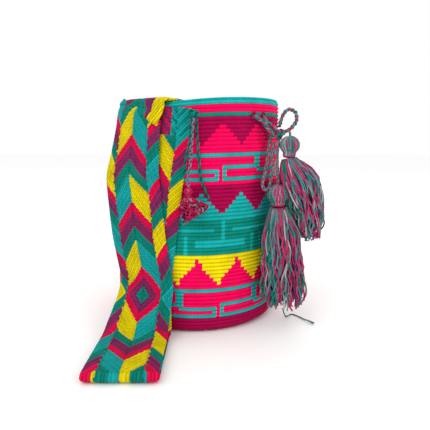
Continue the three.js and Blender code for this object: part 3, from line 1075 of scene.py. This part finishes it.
class MOCHILA_OT_crochet(bpy.types.Operator):
    """Crochets the bag's patterned wall, its lining side and its base"""

    bl_idname = "mochila.crochet"
    bl_label = "Crochet the bag"

    def execute(self, context):
        self.make_wall()
        self.make_lining()
        self.make_eyelets()
        return {"FINISHED"}

    def make_wall(self):
        """The outside, stitch by stitch, and over the rim."""
        detail = OUTSIDE_DETAIL
        rows = makeup().rows
        columns = STITCHES * detail
        rng = np.random.default_rng(7)
        profile = outer_profile(rows * detail + 1)
        count = len(profile)
        slopes = unit(np.gradient(profile, axis=0))
        relief = stitch_relief(columns, count, detail, detail, rng) * makeup().stitch_height
        angles = CHART_START_ANGLE + 360 * np.arange(columns)[:, None] / columns
        lean = np.resize(LEANS, count)[None, :] * 360 / STITCHES
        swell = SWELL * np.sin(np.radians(3 * angles + 40)) * np.sin(profile[None, :, 1] * 40)
        radii = profile[None, :, 0] + relief * slopes[None, :, 1] + swell
        heights = profile[None, :, 1] - relief * slopes[None, :, 0]
        outer = place_round(angles + lean, radii, np.maximum(heights, 0.0002))
        rolled = self.rim_roll(angles)
        # Painted shade between the rim's loops, joined to the painted shade between rows and stitches.
        rim_loop_shade = np.where(np.arange(columns) % detail == 0, RIM_PAINTED_SHADE, 0.0)
        rim_painted_shade = np.broadcast_to(rim_loop_shade[:, None], rolled.shape[:2])
        painted_shade_amount = np.concatenate([stitch_painted_shade(columns, count, detail, detail), rim_painted_shade], axis=1)
        skein = Skein()
        work_rounds(skein, np.concatenate([outer, rolled], axis=1), profile, detail, painted_shade_amount, True)
        finish_piece(skein.build("crochet_wall"), "crochet_body", "bag_body")

    def rim_roll(self, angles):
        """The last round's loops, rolled over the rim and a little way down inside."""
        top = BAG_HEIGHT - WALL / 2
        turn = np.radians([35, 65, 90, 115, 145, 180])
        middle = float(wall_radius(top)) - WALL / 2
        radii = middle + WALL / 2 * np.cos(turn)
        heights = top + WALL / 2 * np.sin(turn)
        radii = np.append(radii, radii[-1] - 0.0002)[None, :]
        heights = np.append(heights, top - 0.007)[None, :]
        loops = 1 + 0.10 * np.abs(np.sin(np.radians(angles) * STITCHES / 2))
        radii = middle + (radii - middle) * loops
        heights = top + (heights - top) * loops
        return place_round(np.broadcast_to(angles, radii.shape), radii, heights)

    def make_lining(self):
        """The inside of the wall and both sides of the base, in the same rows."""
        detail = INSIDE_DETAIL
        columns = STITCHES * detail
        rows = makeup().rows
        profile = outer_profile(rows * detail + 1)
        count = len(profile)
        turn = np.clip(np.arange(count) / (rows * detail) * 14, 0, 1) * np.pi / 2
        radii = profile[:, 0] - (WALL - 0.0004) * np.sin(turn)
        heights = profile[:, 1] + (WALL - 0.0004) * np.cos(turn)
        rng = np.random.default_rng(9)
        relief = stitch_relief(columns, count, detail, detail, rng) * makeup().stitch_height * 0.6
        angles = CHART_START_ANGLE + 360 * np.arange(columns)[:, None] / columns
        angles, all_heights = [np.broadcast_to(values, relief.shape) for values in (angles, heights)]
        inside = place_round(angles, radii[None, :] - relief, all_heights)
        # Painted shade inside the wall, a little lighter than outside, between rows and stitches.
        painted_shade_amount = stitch_painted_shade(columns, count, detail, detail) * 0.8
        skein = Skein()
        work_rounds(skein, inside, profile, detail, painted_shade_amount, False)
        finish_piece(skein.build("crochet_inside"), "crochet_body")
        for name, start, lift, outward in (
            ("crochet_floor", radii[0] + 0.002, float(heights[0]), 1),
            ("crochet_base", profile[0, 0] + 0.001, 0.0004, -1),
        ):
            self.make_disc(name, start, lift, outward)

    def make_disc(self, name, radius, lift, outward):
        """The base's rounds, worked out from the middle."""
        rounds = int(radius / ROUND_WIDTH)
        steps = rounds * 3
        columns = 240
        t = np.linspace(0.004, 1, steps)
        ripple = ROUND_RIPPLE * np.abs(np.sin(np.pi * rounds * t))
        angles = np.linspace(0, 2 * np.pi, columns, endpoint=False)
        stitches = ROUND_STITCH * np.abs(np.sin(angles[:, None] * 60))
        height = lift + outward * (ripple[None, :] + stitches * (t > 0.1))
        x = radius * t[None, :] * np.sin(angles[:, None])
        y = -radius * t[None, :] * np.cos(angles[:, None])
        grid = np.stack([x + 0 * height, y + 0 * height, np.maximum(height, 0.0)], axis=-1)
        faces = []
        yarns = []
        for i in range(columns):
            right = (i + 1) % columns
            for j in range(steps - 1):
                quad = (i * steps + j, right * steps + j, right * steps + j + 1, i * steps + j + 1)
                faces.append(quad[::-1] if outward > 0 else quad)
                yarns.append("wine" if j // 3 % 6 else "teal")
        faces.append(tuple(i * steps for i in range(columns))[::-outward])
        yarns.append("wine")
        skein = Skein()
        skein.add(grid.reshape(-1, 3), faces, yarns)
        finish_piece(skein.build(name), "crochet_body")

    def make_eyelets(self):
        """Wound rings where the drawstring comes through the wall."""
        skein = Skein()
        for angle in EYELET_ANGLES:
            centre = np.array(on_wall(angle, EYELET_HEIGHT, 0.0006))
            turn = math.radians(angle)
            side = np.array([math.cos(turn), math.sin(turn), 0])
            up = np.array([0, 0, 1])
            t = np.linspace(0, 2 * np.pi, 40)
            ring = centre + EYELET_RADIUS * (np.cos(t)[:, None] * side + np.sin(t)[:, None] * up)
            skein.add_strand(ring, EYELET_YARN, "wine", sides=8, twist=0.004)
        finish_piece(skein.build("eyelets"), "crochet_body")


# ---- the strap ----

def strap_stations():
    """Places, headings and curls along the strap, from the front seam to the back seam."""
    def on_floor(y, z):
        return (STRAP_FLOOR_X, y, z)

    turns = ((-23.4, 0.266), (-24.8, 0.220), (-27.6, 0.172), (-29, 0.138), (-31, 0.108), (-33, 0.072))
    down = [(on_wall(angle, z, STRAP_ON_WALL), angle, 1) for angle, z in turns]
    landing = [
        ((-0.0600, -0.0960, 0.0400), -31, 0.8),
        ((-0.0610, -0.1010, 0.0180), -25, 0.5),
        ((-0.0625, -0.1100, 0.0060), -16, 0.2),
        (on_floor(-0.120, 0.0032), -7, 0),
    ]
    lower = [(on_floor(y, STRAP_FLOOR), 0, 0) for y in (-0.130, -0.152, -0.180, -0.198)]
    fold = [
        (on_floor(-0.2064, 0.0032), 0, 0),
        (on_floor(-0.2090, 0.0060), 0, 0),
        (on_floor(-0.2064, 0.0088), 0, 0),
    ]
    upper = [(on_floor(y, STRAP_FLOOR_UPPER), 0, 0) for y in (-0.198, -0.180, -0.152, -0.136)]
    rising = [
        (on_floor(-0.125, 0.013), -8, 0.1),
        ((-0.0625, -0.1160, 0.0240), -16, 0.2),
        ((-0.0590, -0.1060, 0.0420), -24, 0.3),
    ]
    up = [
        ((-0.0570, -0.0990, 0.0620), -27, 0.4),
        ((-0.0610, -0.0960, 0.0870), -26, 0.4),
        ((-0.0650, -0.0944, 0.1100), -25, 0.4),
        ((-0.0670, -0.0936, 0.1300), -24, 0.4),
        ((-0.0690, -0.0924, 0.1560), -24, 0.4),
        ((-0.0716, -0.0894, 0.1830), -26, 0.4),
        ((-0.0695, -0.0870, 0.2080), -33, 0.6),
        ((-0.0665, -0.0850, 0.2360), -38, 0.8),
        ((-0.0640, -0.0848, 0.2540), -39, 0.9),
    ]
    front = [
        (on_wall(-38.2, 0.265, 0.0082), -38, 0.7),
        (on_wall(-37.8, 0.2736, 0.0044), -36, 0.3),
        (on_wall(-37.8, STRAP_OVER_RIM, -0.005), -34, 0),
    ]
    across = [
        ((-0.032, -0.039, 0.2670), -31, 0),
        ((-0.005, 0.0065, 0.2664), -30, 0),
        ((0.020, 0.048, 0.2700), -27, 0),
    ]
    back = [
        (on_wall(STRAP_BACK_ANGLE, STRAP_OVER_RIM, -0.008), -24, 0),
        (on_wall(STRAP_BACK_ANGLE, 0.2734, 0), -23.6, -0.4),
        (on_wall(STRAP_BACK_ANGLE, 0.268, 0.0034), -23.6, -0.8),
        (on_wall(STRAP_BACK_ANGLE, 0.256, STRAP_ON_WALL), -23.6, -1),
        (on_wall(STRAP_BACK_ANGLE, 0.232, STRAP_ON_WALL), -23.6, -1),
    ]
    return down + landing + lower + fold + upper + rising + up + front + across + back


def braid_phase(x, t):
    """How far down the braid's repeat a place is: x across from the middle, t along from the seam."""
    reach = np.abs(x)
    tooth = BRAID_TOOTH * np.abs((t / BRAID_TOOTH_PITCH) % 2 - 1)
    inner = reach < BRAID_VALLEY + tooth
    t = np.where((t > BRAID_NOSE_START) & (t < BRAID_NOSE), BRAID_NOSE, t)
    w = np.where(t < BRAID_SWAP, BRAID_REAR_START - t, np.abs(t - BRAID_DIAMOND))
    below = (t >= BRAID_SWAP) & (t < BRAID_DIAMOND)
    centre = BRAID_FIRST - w * np.where(below, BRAID_LOOSE, 1.0) - BRAID_SLOPE * reach
    margin = BRAID_FIRST - w - BRAID_SLOPE * (2 * BRAID_VALLEY - reach) - BRAID_MARGIN_LAG
    return np.where(inner, centre, margin)


def braid_yarn(x, t, phase):
    """The yarn of a place in the braid; the seam's end has its own two parts."""
    strand = math.floor(phase / BRAID_REPEAT * BRAID_STRANDS)
    if t < BRAID_SEAM:
        if x > BRAID_SEAM_SPLIT:
            return "teal" if strand % 3 else "green"
        return ("red", "plum", "mauve")[strand % 3]
    turn, step = divmod(strand, BRAID_STRANDS)
    if step < BRAID_LEAF_END:
        return "yellow" if (x < 0) == (turn % 2 == 0) else "teal"
    if step < BRAID_RED_END:
        return "red"
    if step < (BRAID_CORE if t > BRAID_SWAP and turn == 0 else BRAID_MAUVE_END):
        return "mauve" if step % 2 else "plum"
    return "green"


class MOCHILA_OT_strap(bpy.types.Operator):
    """Braids the strap in its chevrons and diamond, and lays it over the bag"""

    bl_idname = "mochila.strap"
    bl_label = "Braid the strap"

    def execute(self, context):
        across = makeup().strap_columns
        along = makeup().strap_steps
        stations = strap_stations()
        places, spans = smooth_path([place for place, _, _ in stations], 40)
        lengths = lengths_along(places)
        t = np.linspace(0, lengths[-1], along)
        centre = np.stack([np.interp(t, lengths, places[:, k]) for k in range(3)], axis=1)
        at = np.interp(t, lengths, spans)
        number = np.arange(len(stations))
        heading = np.radians(np.interp(at, number, [h for _, h, _ in stations]))
        curl = np.interp(at, number, [c for _, _, c in stations])
        tangent = unit(np.gradient(centre, axis=0))
        side = np.stack([np.cos(heading), np.sin(heading), 0 * heading], axis=1)
        side = unit(side - np.sum(side * tangent, axis=1, keepdims=True) * tangent)
        normal = unit(np.cross(side, tangent))
        out = unit(centre * np.array([1, 1, 0]))
        out = unit(out - np.sum(out * tangent, axis=1, keepdims=True) * tangent)

        share = np.sin(np.linspace(-np.pi / 2, np.pi / 2, across + 1) * 0.9) / math.sin(0.45 * math.pi)
        x = share * STRAP_WIDTH / 2
        bend = (curl / (RADIUS_MIDDLE + STRAP_ON_WALL))[:, None]
        flat = np.abs(bend) < 1e-6
        safe = np.where(flat, 1.0, bend)
        sag = np.where(flat, 0, np.abs((1 - np.cos(x[None, :] * bend)) / safe))
        reach = np.where(flat, x[None, :], np.sin(x[None, :] * bend) / safe)
        middle = centre[:, None, :] + reach[..., None] * side[:, None, :] - sag[..., None] * out[:, None, :]

        phase = braid_phase(x[None, :], t[:, None])
        pitch = BRAID_REPEAT / BRAID_STRANDS
        crown = np.abs(np.sin(np.pi * phase / pitch)) ** 0.7
        run = t[:, None] - np.abs(x[None, :]) * 0.4
        ply = BRAID_PLY_DEPTH * np.sin(2 * np.pi * (run / BRAID_PLY + phase / pitch))
        furrow = np.exp(-(x[None, :] / BRAID_FURROW) ** 2)
        furrow = furrow + np.exp(-((np.abs(x[None, :]) - BRAID_VALLEY) / BRAID_FURROW) ** 2)
        relief = makeup().braid_height * (crown - 0.6 + ply - BRAID_FURROW_DEPTH * furrow)
        edge = np.sqrt(np.clip(1 - np.abs(share) ** 10, 0, 1))[None, :]
        lift = edge * (STRAP_THICKNESS / 2 + relief)
        front = middle + lift[..., None] * normal[:, None, :]
        rear = middle - lift[..., None] * normal[:, None, :]
        rings = np.concatenate([front, rear[:, -2:0:-1]], axis=1)
        rings[..., 2] = np.maximum(rings[..., 2], 0.0003)

        sides = rings.shape[1]
        order = np.concatenate([np.arange(across + 1), np.arange(across - 1, 0, -1)])
        i, j = np.meshgrid(np.arange(along - 1), np.arange(sides), indexing="ij")
        mid_x = ((x[order[j]] + x[order[(j + 1) % sides]]) / 2).ravel()
        mid_t = ((t[i] + t[i + 1]) / 2).ravel()
        yarns = [braid_yarn(*place) for place in zip(mid_x, mid_t, braid_phase(mid_x, mid_t))]
        yarns += ["teal", "teal"]

        # Painted shade on the braid: darker between strands, on every other strand, between plies and in
        # the furrows.
        groove, every_other, ply_gap_shade, furrow_shade = BRAID_PAINTED_SHADES
        painted_shade_amount = groove * (1 - crown) + every_other * (np.floor(phase / pitch) % 2)
        painted_shade_amount = painted_shade_amount + ply_gap_shade * (0.5 - 0.5 * ply / BRAID_PLY_DEPTH) + furrow_shade * furrow
        painted_shade_amount = np.clip(painted_shade_amount, 0, 1)
        skein = Skein()
        skein.add_rings(rings, yarns, np.concatenate([painted_shade_amount, painted_shade_amount[:, -2:0:-1]], axis=1))
        piece = skein.build("strap_braid")
        finish_piece(piece, "braided_strap", "strap")
        return {"FINISHED"}


# ---- the add-on ----

def shade(name, description, default):
    return bpy.props.FloatVectorProperty(
        name=name, description=description, subtype="COLOR", size=3, min=0, max=1, default=default
    )


class MochilaShades(bpy.types.PropertyGroup):
    """The dye of each yarn"""

    teal: shade("Teal", "Teal yarn of the keys, the rim and the strap", (0.008, 0.415, 0.405))
    green: shade("Green", "Dark green yarn", (0.002, 0.26, 0.195))
    dark: shade("Deep green", "The darker ply of the green strings", (0.002, 0.10, 0.085))
    yellow: shade("Yellow", "Yellow yarn", (0.88, 0.72, 0.003))
    red: shade("Red", "Red yarn of the strap", (0.86, 0.003, 0.078))
    hot: shade("Rose red", "Rose red yarn of the wall", (0.97, 0.0008, 0.102))
    wine: shade("Wine", "Wine red yarn", (0.40, 0.0008, 0.066))
    crimson: shade("Crimson", "Crimson yarn of the ties", (0.56, 0.006, 0.085))
    pink: shade("Pink", "Pink yarn of the tassels", (0.60, 0.048, 0.175))
    mauve: shade("Mauve", "Mauve yarn", (0.18, 0.034, 0.135))
    plum: shade("Plum", "The redder ply of the mauve chevrons", (0.36, 0.018, 0.115))
    grey: shade("Grey", "Grey-green yarn", (0.19, 0.29, 0.33))
    # Pale strands; in the crimson tassel they are painted highlights.
    pale: shade("Pale", "The palest yarn of the tassels", (0.55, 0.52, 0.52))


class MochilaMakeup(bpy.types.PropertyGroup):
    """How finely the bag is worked, and how it is lit"""

    rows: bpy.props.IntProperty(
        name="Rows", description="Rounds of crochet up the wall", min=20, max=64, default=62
    )
    stitch_height: bpy.props.FloatProperty(
        name="Stitch height", description="How far a stitch stands out", unit="LENGTH", default=0.0011
    )
    strap_columns: bpy.props.IntProperty(
        name="Strap columns", description="Places across the strap", min=12, max=64, default=62
    )
    strap_steps: bpy.props.IntProperty(
        name="Strap steps", description="Places along the strap", min=60, max=780, default=760
    )
    braid_height: bpy.props.FloatProperty(
        name="Braid height", description="How far a strand of the strap stands out", unit="LENGTH",
        default=0.0014,
    )
    tassel_yarn: bpy.props.FloatProperty(
        name="Tassel yarn", description="Diameter of a tassel's strand", unit="LENGTH", default=0.0018
    )
    tassel_strands: bpy.props.IntProperty(
        name="Tassel strands", description="Strands in a large tassel", min=30, max=400, default=250
    )
    fuzz: bpy.props.FloatProperty(
        name="Fuzz", description="Sheen of the loose fibres", min=0, max=1, default=0.02
    )
    unevenness: bpy.props.FloatProperty(
        name="Uneven dye", description="How much the shade varies", min=0, max=1, default=0.35
    )
    # How dark the painted shade is in the furrows and hollows of every yarn.
    painted_shade_strength: bpy.props.FloatProperty(
        name="Painted shade strength", description="How dark the furrows between strands are",
        min=0, max=1, default=0.6,
    )
    room_light: bpy.props.FloatProperty(
        name="Room light", description="Strength of the white room", min=0, default=1.0
    )
    key_light: bpy.props.FloatProperty(
        name="Key light", description="Power of the main light, in watts", min=0, default=9.0
    )


class MOCHILA_PT_panel(bpy.types.Panel):
    """Lists the bag's settings and the steps that make it"""

    bl_idname = "MOCHILA_PT_panel"
    bl_label = "Mochila"
    bl_space_type = "VIEW_3D"
    bl_region_type = "UI"
    bl_category = "Mochila"

    def draw(self, context):
        for group in (context.scene.mochila_shades, context.scene.mochila_makeup):
            box = self.layout.box()
            for name in group.bl_rna.properties.keys():
                if name not in ("rna_type", "name"):
                    box.prop(group, name)
        for operator in PIECES:
            self.layout.operator(operator.bl_idname)


PIECES = (
    MOCHILA_OT_stage,
    MOCHILA_OT_cords,
    MOCHILA_OT_knots,
    MOCHILA_OT_tassels,
    MOCHILA_OT_crochet,
    MOCHILA_OT_strap,
)
CLASSES = (MochilaShades, MochilaMakeup, *PIECES, MOCHILA_PT_panel)


def register():
    for made in CLASSES:
        bpy.utils.register_class(made)
    bpy.types.Scene.mochila_shades = bpy.props.PointerProperty(type=MochilaShades)
    bpy.types.Scene.mochila_makeup = bpy.props.PointerProperty(type=MochilaMakeup)


def unregister():
    del bpy.types.Scene.mochila_makeup
    del bpy.types.Scene.mochila_shades
    for made in reversed(CLASSES):
        bpy.utils.unregister_class(made)


def main():
    register()
    bpy.ops.mochila.stage()
    bpy.ops.mochila.cords()
    bpy.ops.mochila.knots()
    bpy.ops.mochila.tassels()
    bpy.ops.mochila.crochet()
    bpy.ops.mochila.strap()


if __name__ == "__main__":
    main()
